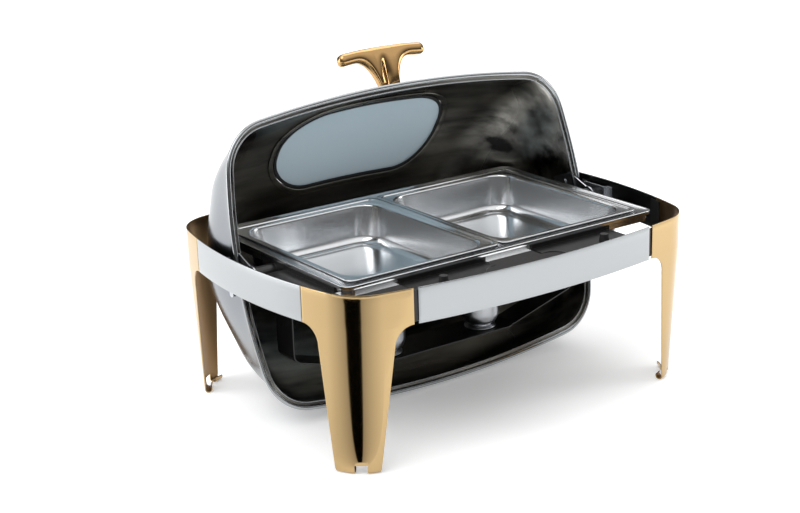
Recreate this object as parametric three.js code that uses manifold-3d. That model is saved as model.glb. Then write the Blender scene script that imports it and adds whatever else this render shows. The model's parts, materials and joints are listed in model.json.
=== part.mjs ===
// Roll top chafer: a four-legged frame of bowed rails, a water pan with two half-size food pans,
// a domed lid that rolls back about two side pivots, and a burner shelf hung below the pan.
// Millimetres, +Z up, front towards -Y, origin on the floor under the middle of the frame.
import * as THREE from "three";
import { mergeVertices } from "three/addons/utils/BufferGeometryUtils.js";
import Module from "manifold-3d";

const wasm = await Module();
wasm.setup();

// ---- driving dimensions ----
const halfLong = 304; // frame outline: half length to the unrounded corners
const halfDeep = 230; // frame outline: half depth to the unrounded corners
const frameBow = 35; // how far the middle of every side stands out past its corners
const frameCorner = 70; // bend radius of the corner legs
const frameTop = 262; // height of the top edge of legs and rails
const railTall = 51; // height of the rails and of the legs' wings
const sheet = 1.5; // thickness of the frame's sheet metal
const gap = 0.3; // clearance between pieces that touch

const wingTop = 86; // leg wing, from the middle of the bend to its upper end
const wingFillet = 29; // radius of the hollow curve under the wing
const wingFoot = 33; // leg wing at the floor
const leanX = 5.4; // how far a foot stands inside its top corner, along X
const leanY = 12.4; // the same along Y
const footRoll = 6; // outer radius of the inward roll that ends each wing
const footCurl = 205; // how far round the roll turns, in degrees
const footNotch = 9; // half width of the notch between the two rolls
const jointLong = 7; // open joint between a leg and the front or rear rail
const jointSide = 1; // open joint between a leg and a side rail
const stripLap = 11; // how far a joint strip reaches behind leg and rail
const stripTall = 43; // height of a joint strip

const pivotY = 5; // lid pivot axis, along X
const pivotDrop = 26; // pivot axis below the top of the frame
const pivotZ = frameTop - pivotDrop;
const openAngle = 103.9; // how far the lid is rolled open at rest, in degrees
const lidInsetLong = 5; // lid rim outline inside the frame outline at the ends
const lidInsetDeep = 26; // the same at front and rear
const lidLong = halfLong - lidInsetLong; // lid rim outline: half length to the unrounded corners
const lidDeep = halfDeep - lidInsetDeep; // half depth to the unrounded corners
const lidBowLong = 25; // bow of the front and rear rim
const lidBowSide = 24; // bow of the side rims
const lidCorner = 77; // corner radius of the rim
const rimRise = 28; // rim plane above the pivot when the lid is closed
const lidSheet = 1.5; // thickness of the lid's sheet metal
const endPower = 3.5; // how square the lid's ends are, seen from the front
const cornerPull = 0.08; // how much the lid's upper corners draw in
const beadWide = 7; // rolled bead along the rim
const beadTall = 6;

const windowAngle = 45; // middle of the window, forward of the lid's crown, in degrees
const windowWide = 310;
const windowTall = 164;
const windowCorner = 76;
const glassThick = 4;
const gasketWide = 6;
const bezelWide = 9;

const handleAngle = 79.1; // middle of the handle, forward of the lid's crown, in degrees
const handleWide = 158;
const handleBar = 19; // depth of the handle's bar
const handleRise = 55; // axis of the bar above the lid
const handleThick = 20;
const stemWide = 40;

const panY = -4; // middle of the pans
const foodLong = 131.8; // half-size food pan flange, half length
const foodDeep = 162.5; // its half depth
const foodFlange = 15; // width of its flange
const foodTaper = 9; // how far its walls lean in
const foodDrop = 62; // depth of a food pan
const foodApart = 0.7; // half the space between the two food pans
const panRim = 16; // how far the water pan's flange shows round the food pans
const panLong = 2 * (foodLong + foodApart) + panRim; // water pan flange, half length
const panDeep = foodDeep + panRim; // water pan flange, half depth
const panFlange = 27; // width of its flange
const panTaper = 14; // how far its walls lean in
const panSink = 3; // top of its flange below the top of the frame
const panTop = frameTop - panSink;
const panDrop = 98; // depth of the water pan
const panCorner = 14; // outer corner radius of all flanges
const panBodyCorner = 34; // corner radius of the drawn bodies
const panSheet = 1.2;
const skirtTall = 14; // sheet band that carries the water pan
const hangDrop = 21; // brackets and straps are fixed this far below the band's top
const skirtIn = 4; // band inside the pan's flange

const shelfBelowPan = 95; // top of the burner shelf below the water pan's floor
const shelfTop = panTop - panDrop - shelfBelowPan;
const shelfLong = 137; // its half length
const shelfFront = -28;
const shelfRear = 40;
const shelfSheet = 2;
const strapInset = 15; // outside of the hanger straps inside the pan's flange
const strapX = panLong - strapInset;
const strapWide = 44;
const strapTurn = 42; // a strap turns in towards the shelf this far above it
const strapBend = shelfTop + strapTurn;
const burnerX = 90; // middle of each fuel holder
const burnerY = pivotY; // the holders stand under the lid's axis, where it sweeps round them
const cupRadius = 30;
const cupTall = 50;
const cupSheet = 1.5;
const footRadius = 22;

const pinRadius = 5;
const bossRadius = 12;
const armHub = 15;
const armThick = 2;

// ---- finishes ----
const finish = (color, roughness, metalness) => ({ color, roughness, metalness });
const gold = finish(0xd9ad62, 0.22, 1);
const mirrorSteel = finish(0xd8dadc, 0.12, 1);
const satinSteel = finish(0xb4b6b8, 0.35, 1);
const darkSteel = finish(0x2a2623, 0.3, 1);
const blackRubber = finish(0x141414, 0.8, 0);
const tintedGlass = finish(0x9fb0ba, 0.05, 0);

const model = new THREE.Group();
const lid = new THREE.Group();

// ---- solids ----
function toSolid(geometry) {
  const bare = geometry.index ? geometry.toNonIndexed() : geometry.clone();
  bare.deleteAttribute("normal");
  bare.deleteAttribute("uv");
  const merged = mergeVertices(bare, 1e-3);
  return new wasm.Manifold(
    new wasm.Mesh({
      numProp: 3,
      vertProperties: merged.attributes.position.array,
      triVerts: new Uint32Array(merged.index.array),
    }),
  );
}

function toGeometry(solid) {
  const { vertProperties, triVerts } = solid.getMesh();
  const geometry = new THREE.BufferGeometry();
  geometry.setAttribute("position", new THREE.BufferAttribute(vertProperties, 3));
  geometry.setIndex(new THREE.BufferAttribute(triVerts, 1));
  geometry.computeVertexNormals();
  return geometry;
}

function add(name, shape, look, parent = model) {
  const geometry = shape.isBufferGeometry ? shape : toGeometry(shape);
  const mesh = new THREE.Mesh(geometry, new THREE.MeshStandardMaterial(look));
  mesh.name = name;
  parent.add(mesh);
  return mesh;
}

// A closed surface through rings of equal length, each turning the same way round.
// Open lofts get a flat cap on the first and the last ring.
function loft(rings, looped = false) {
  const count = rings[0].length;
  const positions = rings.flat().flatMap((p) => [p.x, p.y, p.z]);
  const index = [];
  const bands = looped ? rings.length : rings.length - 1;
  for (let r = 0; r < bands; r++) {
    const a = r * count;
    const b = ((r + 1) % rings.length) * count;
    for (let i = 0; i < count; i++) {
      const j = (i + 1) % count;
      index.push(a + i, a + j, b + j, a + i, b + j, b + i);
    }
  }
  if (!looped) {
    capFaces(rings[0]).forEach(([i, j, k]) => index.push(k, j, i));
    const last = (rings.length - 1) * count;
    capFaces(rings.at(-1)).forEach(([i, j, k]) => index.push(last + i, last + j, last + k));
  }
  const geometry = new THREE.BufferGeometry();
  geometry.setAttribute("position", new THREE.Float32BufferAttribute(positions, 3));
  geometry.setIndex(index);
  const volume = signedVolume(geometry);
  if (volume < 0) geometry.setIndex(index.toReversed());
  return toSolid(geometry);
}

// Triangles of a flat ring, in the plane that shows it largest, turning the way the ring does.
function capFaces(ring) {
  const normal = new THREE.Vector3();
  ring.forEach((p, i) => normal.add(p.clone().cross(ring[(i + 1) % ring.length])));
  const size = normal.toArray().map(Math.abs);
  const drop = size.indexOf(Math.max(...size));
  const flat = ring.map((p) => {
    const [u, v] = p.toArray().filter((_, axis) => axis !== drop);
    return new THREE.Vector2(u, v);
  });
  const faces = THREE.ShapeUtils.triangulateShape(flat, []);
  const turned = new THREE.Vector3();
  faces.forEach(([i, j, k]) => {
    const across = ring[j].clone().sub(ring[i]);
    turned.add(across.cross(ring[k].clone().sub(ring[i])));
  });
  return turned.dot(normal) < 0 ? faces.map(([i, j, k]) => [k, j, i]) : faces;
}

function signedVolume(geometry) {
  const { position } = geometry.attributes;
  const corner = [0, 1, 2].map(() => new THREE.Vector3());
  let sum = 0;
  for (let t = 0; t < geometry.index.count; t += 3) {
    corner.forEach((p, k) => p.fromBufferAttribute(position, geometry.index.getX(t + k)));
    sum += corner[0].dot(corner[1].clone().cross(corner[2]));
  }
  return sum;
}

function plate(shape, depth, curveSegments = 12) {
  return new THREE.ExtrudeGeometry(shape, { depth, bevelEnabled: false, curveSegments });
}

function box(x0, x1, y0, y1, z0, z1) {
  const geometry = new THREE.BoxGeometry(Math.abs(x1 - x0), y1 - y0, z1 - z0);
  geometry.translate((x0 + x1) / 2, (y0 + y1) / 2, (z0 + z1) / 2);
  return toSolid(geometry);
}

// A round bar along X.
function barX(radius, x0, x1, y, z, sides = 20) {
  const geometry = new THREE.CylinderGeometry(radius, radius, Math.abs(x1 - x0), sides);
  geometry.rotateZ(Math.PI / 2);
  geometry.translate((x0 + x1) / 2, y, z);
  return toSolid(geometry);
}

// ---- bowed outlines ----
// An oblong whose four sides are arcs, met by round corners. Quarter x > 0, y < 0 is worked out,
// and the other three mirror it. An inset moves the outline in along its normals.
function bowedOutline(long, deep, bowLong, bowSide, corner) {
  const frontRadius = (long ** 2 + bowLong ** 2) / (2 * bowLong);
  const sideRadius = (deep ** 2 + bowSide ** 2) / (2 * bowSide);
  const front = new THREE.Vector2(0, frontRadius - deep - bowLong);
  const side = new THREE.Vector2(long + bowSide - sideRadius, 0);
  const toFront = frontRadius - corner;
  const toSide = sideRadius - corner;
  const apart = front.distanceTo(side);
  const along = (toFront ** 2 - toSide ** 2 + apart ** 2) / (2 * apart);
  const across = Math.sqrt(toFront ** 2 - along ** 2);
  const way = side.clone().sub(front).normalize();
  const bend = front.clone().addScaledVector(way, along);
  bend.add(new THREE.Vector2(-way.y, way.x).multiplyScalar(across));
  const bendStart = Math.atan2(bend.y - front.y, bend.x - front.x);
  const bendEnd = Math.atan2(bend.y - side.y, bend.x - side.x);
  return { front, side, bend, frontRadius, sideRadius, corner, bendStart, bendEnd };
}

// The point at arc length s from the middle of the bend: towards the front when s is negative.
function outlinePoint(outline, s, inset = 0) {
  const { front, side, bend, frontRadius, sideRadius, corner, bendStart, bendEnd } = outline;
  const half = (corner * (bendEnd - bendStart)) / 2;
  let centre = bend;
  let radius = corner;
  let angle = (bendStart + bendEnd) / 2 + s / corner;
  if (s < -half) {
    centre = front;
    radius = frontRadius;
    angle = bendStart + (s + half) / frontRadius;
  } else if (s > half) {
    centre = side;
    radius = sideRadius;
    angle = bendEnd + (s - half) / sideRadius;
  }
  const reach = radius - inset;
  return new THREE.Vector2(centre.x + reach * Math.cos(angle), centre.y + reach * Math.sin(angle));
}

// Evenly turning points of the whole outline, anticlockwise from the middle of the front.
function outlineRing(outline, inset, perArc, perBend) {
  const { front, side, bend, frontRadius, sideRadius, corner, bendStart, bendEnd } = outline;
  const quarter = [];
  const arc = (centre, radius, from, to, steps) => {
    for (let i = 0; i < steps; i++) {
      const angle = from + ((to - from) * i) / steps;
      const reach = radius - inset;
      const x = centre.x + reach * Math.cos(angle);
      quarter.push(new THREE.Vector2(x, centre.y + reach * Math.sin(angle)));
    }
  };
  arc(front, frontRadius, -Math.PI / 2, bendStart, perArc);
  arc(bend, corner, bendStart, bendEnd, perBend);
  arc(side, sideRadius, bendEnd, 0, perArc);
  const middle = new THREE.Vector2(side.x + sideRadius - inset, 0);
  const mirror = (points, sx, sy) => points.map((p) => new THREE.Vector2(p.x * sx, p.y * sy));
  const back = mirror([...quarter.slice(1), middle].reverse(), 1, -1);
  const rear = new THREE.Vector2(0, -quarter[0].y);
  const right = [...quarter, ...back, rear];
  return [...right, ...mirror(right.slice(1, -1).reverse(), -1, 1)];
}

const frame = bowedOutline(halfLong, halfDeep, frameBow, frameBow, frameCorner);
const sides = [
  ["right", 1],
  ["left", -1],
];
const ends = [
  ["front", 1],
  ["rear", -1],
];

// ---- legs ----
const railFoot = frameTop - railTall;
const filletEnd = railFoot - wingFillet;
const neck = wingTop - wingFillet;

function wingWidth(z) {
  if (z >= railFoot) return wingTop;
  if (z >= filletEnd) return wingTop - Math.sqrt(wingFillet ** 2 - (z - filletEnd) ** 2);
  return wingFoot + ((neck - wingFoot) * z) / filletEnd;
}

// A leg's blank bent round the corner, cut at height z: out along the face and back inside it.
function legRing(z) {
  const steps = 14;
  const width = wingWidth(z);
  const share = Math.max(0, 1 - z / railFoot);
  const place = (s, inset) => {
    const p = outlinePoint(frame, s, inset);
    return new THREE.Vector3(p.x - leanX * share, p.y + leanY * share, z);
  };
  const outside = [];
  const inside = [];
  for (let i = 0; i <= steps; i++) {
    const s = -width + (2 * width * i) / steps;
    outside.push(place(s, 0));
    inside.unshift(place(s, sheet));
  }
  return [...outside, ...inside];
}

// The inward roll at the bottom of one wing: a part ring swept across the wing's width. One of its
// facets, footFlat degrees wide, lies flat on the floor.
const footFlat = 24;
const rollSteps = 4;
const rollTurns = [];
for (let i = 0; i <= rollSteps; i++) {
  rollTurns.push((i * (90 - footFlat / 2)) / rollSteps);
}
for (let i = 0; i <= rollSteps; i++) {
  rollTurns.push(90 + footFlat / 2 + (i * (footCurl - 90 - footFlat / 2)) / rollSteps);
}
const footRise = footRoll * Math.cos(THREE.MathUtils.degToRad(footFlat / 2));
function footRollSolid(towardsSide) {
  const from = outlinePoint(frame, towardsSide * footNotch);
  const to = outlinePoint(frame, towardsSide * wingWidth(0));
  const lean = new THREE.Vector2(-leanX, leanY);
  from.add(lean);
  to.add(lean);
  const run = to.clone().sub(from).normalize();
  const inward = new THREE.Vector2(-run.y, run.x).multiplyScalar(towardsSide);
  const around = (radius) =>
    rollTurns.map((turn) => {
      const angle = THREE.MathUtils.degToRad(180 + turn);
      return [footRoll + radius * Math.cos(angle), footRise + radius * Math.sin(angle)];
    });
  const section = [...around(footRoll), ...around(footRoll - sheet).reverse()];
  const ring = (p) =>
    section.map(([u, z]) => new THREE.Vector3(p.x + inward.x * u, p.y + inward.y * u, z));
  return loft([ring(from), ring(to)]);
}

const legHeights = [footRise - 0.5, filletEnd / 2];
const filletSteps = 5;
for (let i = 0; i <= filletSteps; i++) {
  legHeights.push(filletEnd + wingFillet * Math.sin((Math.PI / 2) * (i / filletSteps)) * 0.9995);
}
legHeights.push(railFoot, frameTop);
const legBlank = loft(legHeights.map(legRing));
const notchPoint = outlinePoint(frame, 0);
const notch = box(-footNotch, footNotch, -footNotch, footNotch, 0, footRoll + footNotch)
  .rotate([0, 0, 45])
  .translate([notchPoint.x - leanX, notchPoint.y + leanY, -gap]);
const leg = legBlank.subtract(notch).add(footRollSolid(-1)).add(footRollSolid(1));
for (const [end, ey] of ends) {
  for (const [side, sx] of sides) {
    add(`leg_${end}_${side}`, leg.scale([sx, ey, 1]), gold);
  }
}

// ---- rails and the strips behind their joints ----
const bendHalf = (frameCorner * (frame.bendEnd - frame.bendStart)) / 2;
const frontTurn = (s) => frame.bendStart + (bendHalf - s) / frame.frontRadius;
const sideTurn = (s) => frame.bendEnd + (s - bendHalf) / frame.sideRadius;

// A sheet band along an arc of the outline, standing on the height foot.
function band(centre, radius, from, to, inset, thick, foot, tall, steps) {
  const shape = new THREE.Shape();
  shape.absarc(centre.x, centre.y, radius - inset, from, to, false);
  shape.absarc(centre.x, centre.y, radius - inset - thick, to, from, true);
  return toSolid(plate(shape, tall, steps)).translate([0, 0, foot]);
}

const longFrom = -Math.PI - frontTurn(wingTop + jointLong);
const longRail = band(
  frame.front,
  frame.frontRadius,
  longFrom,
  frontTurn(wingTop + jointLong),
  0,
  sheet,
  railFoot,
  railTall,
  20,
);
const shortStart = sideTurn(wingTop + jointSide);
const shortRail = band(
  frame.side,
  frame.sideRadius,
  shortStart,
  -shortStart,
  0,
  sheet,
  railFoot,
  railTall,
  12,
);
add("rail_front", longRail, mirrorSteel);
add("rail_rear", longRail.scale([1, -1, 1]), mirrorSteel);
add("rail_right", shortRail, mirrorSteel);
add("rail_left", shortRail.scale([-1, 1, 1]), mirrorSteel);

const stripFoot = railFoot + (railTall - stripTall) / 2;
const behind = sheet + gap;
const stripFrom = frontTurn(wingTop + jointLong + stripLap);
const stripTo = frontTurn(wingTop - stripLap);
const longStrip = band(
  frame.front,
  frame.frontRadius,
  stripFrom,
  stripTo,
  behind,
  sheet,
  stripFoot,
  stripTall,
  2,
);
const sideFrom = sideTurn(wingTop - stripLap);
const sideTo = sideTurn(wingTop + jointSide + stripLap);
const shortStrip = band(
  frame.side,
  frame.sideRadius,
  sideFrom,
  sideTo,
  behind,
  sheet,
  stripFoot,
  stripTall,
  2,
);
for (const [end, ey] of ends) {
  for (const [side, sx] of sides) {
    add(`joint_strip_${end}_${side}`, longStrip.scale([sx, ey, 1]), darkSteel);
    add(`joint_strip_${side}_${end}`, shortStrip.scale([sx, ey, 1]), darkSteel);
  }
}

// ---- pans ----
// A round-cornered oblong ring at one height.
function panRing(cx, long, deep, corner, z) {
  const steps = 5;
  const centres = [
    [1, -1, -90],
    [1, 1, 0],
    [-1, 1, 90],
    [-1, -1, 180],
  ];
  return centres.flatMap(([sx, sy, start]) =>
    Array.from({ length: steps + 1 }, (_, i) => {
      const angle = THREE.MathUtils.degToRad(start + (90 * i) / steps);
      const x = cx + sx * (long - corner) + corner * Math.cos(angle);
      const y = panY + sy * (deep - corner) + corner * Math.sin(angle);
      return new THREE.Vector3(x, y, z);
    }),
  );
}

// A deep-drawn pan: walls that lean in, a flat flange round the mouth and a turned-down edge.
function pan(cx, flange, mouth, floor, top, drop, lip) {
  const ring = (size, grow, z) =>
    panRing(cx, size.long + grow, size.deep + grow, Math.max(size.corner + grow, 1), z);
  const t = panSheet;
  const floorRound = 9;
  return loft([
    ring(floor, -floorRound, top - drop + t),
    ring(floor, 0, top - drop + t + floorRound * 0.8),
    ring(mouth, 0, top - 5),
    ring(mouth, 3.5, top),
    ring(flange, -1, top),
    ring(flange, 0, top - 1),
    ring(flange, 0, top - lip),
    ring(flange, -t, top - lip),
    ring(flange, -t, top - t),
    ring(mouth, 3.5 + t, top - t),
    ring(mouth, t, top - 5 - t),
    ring(floor, t, top - drop + floorRound * 0.8),
    ring(floor, t - floorRound, top - drop),
  ]);
}

const shrunk = ({ long, deep }, by) => ({ long: long - by, deep: deep - by, corner: panBodyCorner });
const panEdge = { long: panLong, deep: panDeep, corner: panCorner };
const panMouth = shrunk(panEdge, panFlange);
const waterPan = pan(0, panEdge, panMouth, shrunk(panMouth, panTaper), panTop, panDrop, 4);
add("water_pan", waterPan, mirrorSteel);

const foodTop = panTop + gap + panSheet;
const foodEdge = { long: foodLong, deep: foodDeep, corner: panCorner };
const foodMouth = shrunk(foodEdge, foodFlange);
const foodFloor = shrunk(foodMouth, foodTaper);
for (const [side, sx] of sides) {
  const middle = sx * (foodLong + foodApart);
  const shape = pan(middle, foodEdge, foodMouth, foodFloor, foodTop, foodDrop, panSheet);
  add(`food_pan_${side}`, shape, mirrorSteel);
}

// ---- the sheet band that carries the water pan ----
const skirtTop = panTop - panSheet - gap;
const skirtFoot = skirtTop - skirtTall;
const hangFoot = skirtTop - hangDrop;
const skirtLong = panLong - skirtIn;
const skirtDeep = panDeep - skirtIn;
const skirtCorner = 14;
const skirtOutside = loft([
  panRing(0, skirtLong, skirtDeep, skirtCorner, skirtFoot),
  panRing(0, skirtLong, skirtDeep, skirtCorner, skirtTop),
]);
const skirtInside = loft([
  panRing(0, skirtLong - sheet, skirtDeep - sheet, skirtCorner - sheet, skirtFoot - 1),
  panRing(0, skirtLong - sheet, skirtDeep - sheet, skirtCorner - sheet, skirtTop + 1),
]);
const slotTall = 10;
const slotWide = 12;
const cornerSlot = box(-slotWide / 2, slotWide / 2, -slotWide, slotWide, 0, slotTall);
let skirt = skirtOutside.subtract(skirtInside);
for (const [, sx] of sides) {
  for (const [, ey] of ends) {
    const at = [sx * (skirtLong - 4), panY - ey * (skirtDeep - 4), skirtFoot + 4];
    skirt = skirt.subtract(cornerSlot.rotate([0, 0, sx * ey * 45]).translate(at));
  }
}

// ---- brackets, pivot pins and lid arms ----
const railInside = halfLong + frameBow - sheet;
const armInset = 7; // outer face of the lid arm inside the lid's rim
const armOut = lidLong + lidBowSide - armInset;
const armIn = armOut - armThick;
const bossOut = armIn - 1.2;
const plateIn = railInside - 9.5;
const plateOut = plateIn + 2;
const bracketHalf = 24;
const tabReach = 12;
const bracketTall = 34;
const bracketFoot = pivotZ - bracketTall / 2;
// The inside of a side rail at a distance y from its middle.
const railInsideAt = (y) => frame.side.x + Math.sqrt((frame.sideRadius - sheet) ** 2 - y ** 2);

// Top view of the outer bracket: a shallow hat whose brim lies along the rail.
const brimEnd = bracketHalf + tabReach;
const brimOut = railInsideAt(brimEnd + pivotY) - gap;
const hat = new THREE.Shape();
hat.moveTo(plateIn, pivotY - bracketHalf);
hat.lineTo(brimOut - sheet, pivotY - bracketHalf);
hat.lineTo(brimOut - sheet, pivotY - brimEnd);
hat.lineTo(brimOut, pivotY - brimEnd);
hat.lineTo(brimOut, pivotY - bracketHalf + sheet);
hat.lineTo(plateOut, pivotY - bracketHalf + sheet);
hat.lineTo(plateOut, pivotY + bracketHalf - sheet);
hat.lineTo(brimOut, pivotY + bracketHalf - sheet);
hat.lineTo(brimOut, pivotY + brimEnd);
hat.lineTo(brimOut - sheet, pivotY + brimEnd);
hat.lineTo(brimOut - sheet, pivotY + bracketHalf);
hat.lineTo(plateIn, pivotY + bracketHalf);
hat.closePath();

const pinPlay = 0.05; // running clearance of the pin in the lid arm
const pinFit = 0.3; // clearance of the pin in its two brackets
const skirtSide = skirtLong + gap;
const armHole = barX(pinRadius + pinPlay, armIn - 2, armOut + 2, pivotY, pivotZ, 24);
const bracketHole = barX(pinRadius + pinFit, bossOut - 60, plateOut + 2, pivotY, pivotZ, 24);
const outerBracket = toSolid(plate(hat, bracketTall)).translate([0, 0, bracketFoot]).subtract(bracketHole);
const innerFlange = box(skirtSide, skirtSide + 2, pivotY - 30, pivotY + 30, hangFoot, hangFoot + 19);
const boss = barX(bossRadius, skirtSide + 1, bossOut, pivotY, pivotZ, 24);
const innerBracket = innerFlange.add(boss).subtract(bracketHole);
const pinHead = barX(8, plateOut + gap, plateOut + 4, pivotY, pivotZ);
const pin = barX(pinRadius, bossOut - 18, plateOut + 2, pivotY, pivotZ, 24).add(pinHead);
const washerThick = plateIn - gap - (armOut + gap);
const washerRing = barX(9, armOut + gap, armOut + gap + washerThick, pivotY, pivotZ);
const washer = washerRing.subtract(bracketHole);

// The lid's arm: a tongue that hangs below the rim to the pivot, riveted inside the lid's wall.
const armTop = pivotZ + rimRise + 48;
const arm = new THREE.Shape();
arm.moveTo(pivotY - 40, pivotZ + rimRise + 8);
arm.lineTo(pivotY - armHub, pivotZ);
arm.absarc(pivotY, pivotZ, armHub, Math.PI, 2 * Math.PI, false);
arm.lineTo(pivotY + 40, pivotZ + rimRise + 8);
arm.lineTo(pivotY + 34, armTop);
arm.lineTo(pivotY - 34, armTop);
arm.closePath();
const armPlate = plate(arm, armThick);
armPlate.rotateX(Math.PI / 2);
armPlate.rotateZ(Math.PI / 2);
armPlate.translate(armIn, 0, 0);

const rivetRadius = 3;
const rivetHead = 5.5;
const rivetPlaces = [
  [pivotY + 24, pivotZ + rimRise + 24],
  [pivotY - 24, pivotZ + rimRise + 24],
];
const wallOut = lidLong + lidBowSide;
const rivetShape = ([y, z]) => {
  const inner = barX(rivetHead, armIn - 1.8, armIn - gap, y, z, 12);
  const outer = barX(rivetHead, wallOut + gap, wallOut + 2, y, z, 12);
  return barX(rivetRadius, armIn - 1, wallOut + 1, y, z, 12).add(inner).add(outer);
};
const rivetHole = ([y, z]) => barX(rivetRadius + gap, armIn - 5, wallOut + 5, y, z, 12);
const rivetHoles = rivetPlaces.map(rivetHole);
const armSolid = rivetHoles.reduce((solid, hole) => solid.subtract(hole), toSolid(armPlate).subtract(armHole));

for (const [side, sx] of sides) {
  const hand = (solid) => solid.scale([sx, 1, 1]);
  add(`outer_bracket_${side}`, hand(outerBracket), satinSteel);
  add(`inner_bracket_${side}`, hand(innerBracket), satinSteel);
  add(`pivot_pin_${side}`, hand(pin), satinSteel);
  add(`pivot_washer_${side}`, hand(washer), blackRubber);
  add(`lid_arm_${side}`, hand(armSolid), satinSteel, lid);
  rivetPlaces.forEach((place, i) => {
    add(`lid_rivet_${side}_${i + 1}`, hand(rivetShape(place)), satinSteel, lid);
  });
}

// ---- front bridges with the bumpers that the closed lid lands on ----
const bridgeDrop = 16; // top of a bridge below the top of the frame
const bridgeTop = frameTop - bridgeDrop;
const bridgeIn = 42; // the strip along the pan starts here
const bridgeTab = 69; // and widens here into the tab that reaches the rail
const bridgeOut = 192;
const bridgeStrip = 24; // width of the strip
const bridgeFillet = 24; // inner corner between strip and tab
const bridgeBack = panY - skirtDeep - gap;
const bridgeFront = -(halfDeep + frameBow - sheet - frameBow * (bridgeOut / halfLong) ** 2) + 1;
const bumperX = bridgeTab + 77;
const rimFoot = pivotZ + rimRise - beadTall;
const rimAt = (x) => -(lidDeep + lidBowLong - lidBowLong * (x / lidLong) ** 2);
for (const [side, sx] of sides) {
  const ledge = new THREE.Shape();
  ledge.moveTo(bridgeIn, bridgeBack);
  ledge.lineTo(bridgeIn, bridgeBack - bridgeStrip);
  ledge.lineTo(bridgeTab - bridgeFillet, bridgeBack - bridgeStrip);
  ledge.quadraticCurveTo(bridgeTab, bridgeBack - bridgeStrip, bridgeTab, bridgeBack - bridgeStrip - bridgeFillet);
  ledge.lineTo(bridgeTab, bridgeFront);
  ledge.lineTo(bridgeOut, bridgeFront);
  ledge.lineTo(bridgeOut, bridgeBack);
  const flat = toSolid(plate(ledge, 2, 8)).translate([0, 0, bridgeTop - 2]);
  const upturn = box(bridgeIn, bridgeOut, bridgeBack - 2, bridgeBack, bridgeTop - 2, bridgeTop + 6);
  add(`front_bridge_${side}`, flat.add(upturn).scale([sx, 1, 1]), darkSteel);
  const tall = rimFoot - gap - (bridgeTop + gap);
  const bumper = new THREE.CylinderGeometry(6, 7.5, tall, 16);
  bumper.rotateX(Math.PI / 2);
  const z = bridgeTop + gap + tall / 2;
  add(`lid_bumper_${side}`, bumper, blackRubber).position.set(sx * bumperX, rimAt(bumperX) + 3, z);
}

// ---- side ledges: angle strips along the ends of the water pan ----
const sideFront = panY - skirtDeep + 26; // clear of the band's round corner
const sideBack = pivotY - 30 - gap;
const sideOut = skirtSide + 34;
const sideCut = 16; // corner cut off towards the leg
for (const [side, sx] of sides) {
  const ledge = new THREE.Shape();
  ledge.moveTo(skirtSide, sideBack);
  ledge.lineTo(skirtSide, sideFront);
  ledge.lineTo(sideOut - sideCut, sideFront);
  ledge.lineTo(sideOut, sideFront + sideCut);
  ledge.lineTo(sideOut, sideBack);
  const flat = toSolid(plate(ledge, 2)).translate([0, 0, bridgeTop - 2]);
  const upturn = box(skirtSide, skirtSide + 2, sideFront, sideBack, bridgeTop - 2, bridgeTop + 6);
  add(`side_ledge_${side}`, flat.add(upturn).scale([sx, 1, 1]), darkSteel);
}
add("pan_support", skirt, mirrorSteel);

// ---- lid ----
const rim = bowedOutline(lidLong, lidDeep, lidBowLong, lidBowSide, lidCorner);
const halfMouth = lidDeep + lidBowLong;
const rimZ = pivotZ + rimRise;

// The lid's surface at a turn about the pivot line, from the rim up to the crown.
function domeRing(turn, inset) {
  const reach = Math.hypot(halfMouth, rimRise) - inset;
  const height = reach * Math.sin(turn) - rimRise;
  const share = Math.max(0, height / (reach - rimRise));
  const shrinkY = (reach * Math.cos(turn)) / (halfMouth - inset);
  const shrinkX = (1 - share ** endPower) ** (1 / endPower);
  return outlineRing(rim, inset, 6, 6).map((p) => {
    const diagonal = Math.sin(2 * Math.atan2(p.y / halfMouth, p.x / wallOut)) ** 2;
    const pull = 1 - cornerPull * Math.sqrt(share) * diagonal;
    return new THREE.Vector3(p.x * shrinkX * pull, p.y * shrinkY * pull, rimZ + height);
  });
}

// The space between two such surfaces, one wall thick or more.
function domeShell(outside, inside, levels = 13) {
  const rings = [];
  const turns = (inset) => {
    const low = Math.asin(rimRise / (Math.hypot(halfMouth, rimRise) - inset));
    const high = THREE.MathUtils.degToRad(87.5);
    return Array.from({ length: levels + 1 }, (_, i) => low + ((high - low) * i) / levels);
  };
  turns(outside).toReversed().forEach((turn) => rings.push(domeRing(turn, outside)));
  turns(inside).forEach((turn) => rings.push(domeRing(turn, inside)));
  return loft(rings);
}

// A block with the window's outline, standing on the pivot line and leaning forward.
function windowBlock(grow) {
  const wide = windowWide / 2 + grow;
  const tall = windowTall / 2 + grow;
  const round = windowCorner + grow;
  const shape = new THREE.Shape();
  shape.absarc(wide - round, -(tall - round), round, -Math.PI / 2, 0, false);
  shape.absarc(wide - round, tall - round, round, 0, Math.PI / 2, false);
  shape.absarc(-(wide - round), tall - round, round, Math.PI / 2, Math.PI, false);
  shape.absarc(-(wide - round), -(tall - round), round, Math.PI, 1.5 * Math.PI, false);
  const geometry = plate(shape, 400, 8);
  geometry.rotateX(THREE.MathUtils.degToRad(windowAngle));
  geometry.translate(0, 0, pivotZ);
  return toSolid(geometry);
}

const lidHoles = sides.flatMap(([, sx]) => rivetHoles.map((hole) => hole.scale([sx, 1, 1])));
const lidWall = domeShell(0, lidSheet).subtract(windowBlock(0));
add("lid_shell", lidHoles.reduce((solid, hole) => solid.subtract(hole), lidWall), mirrorSteel, lid);

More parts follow.
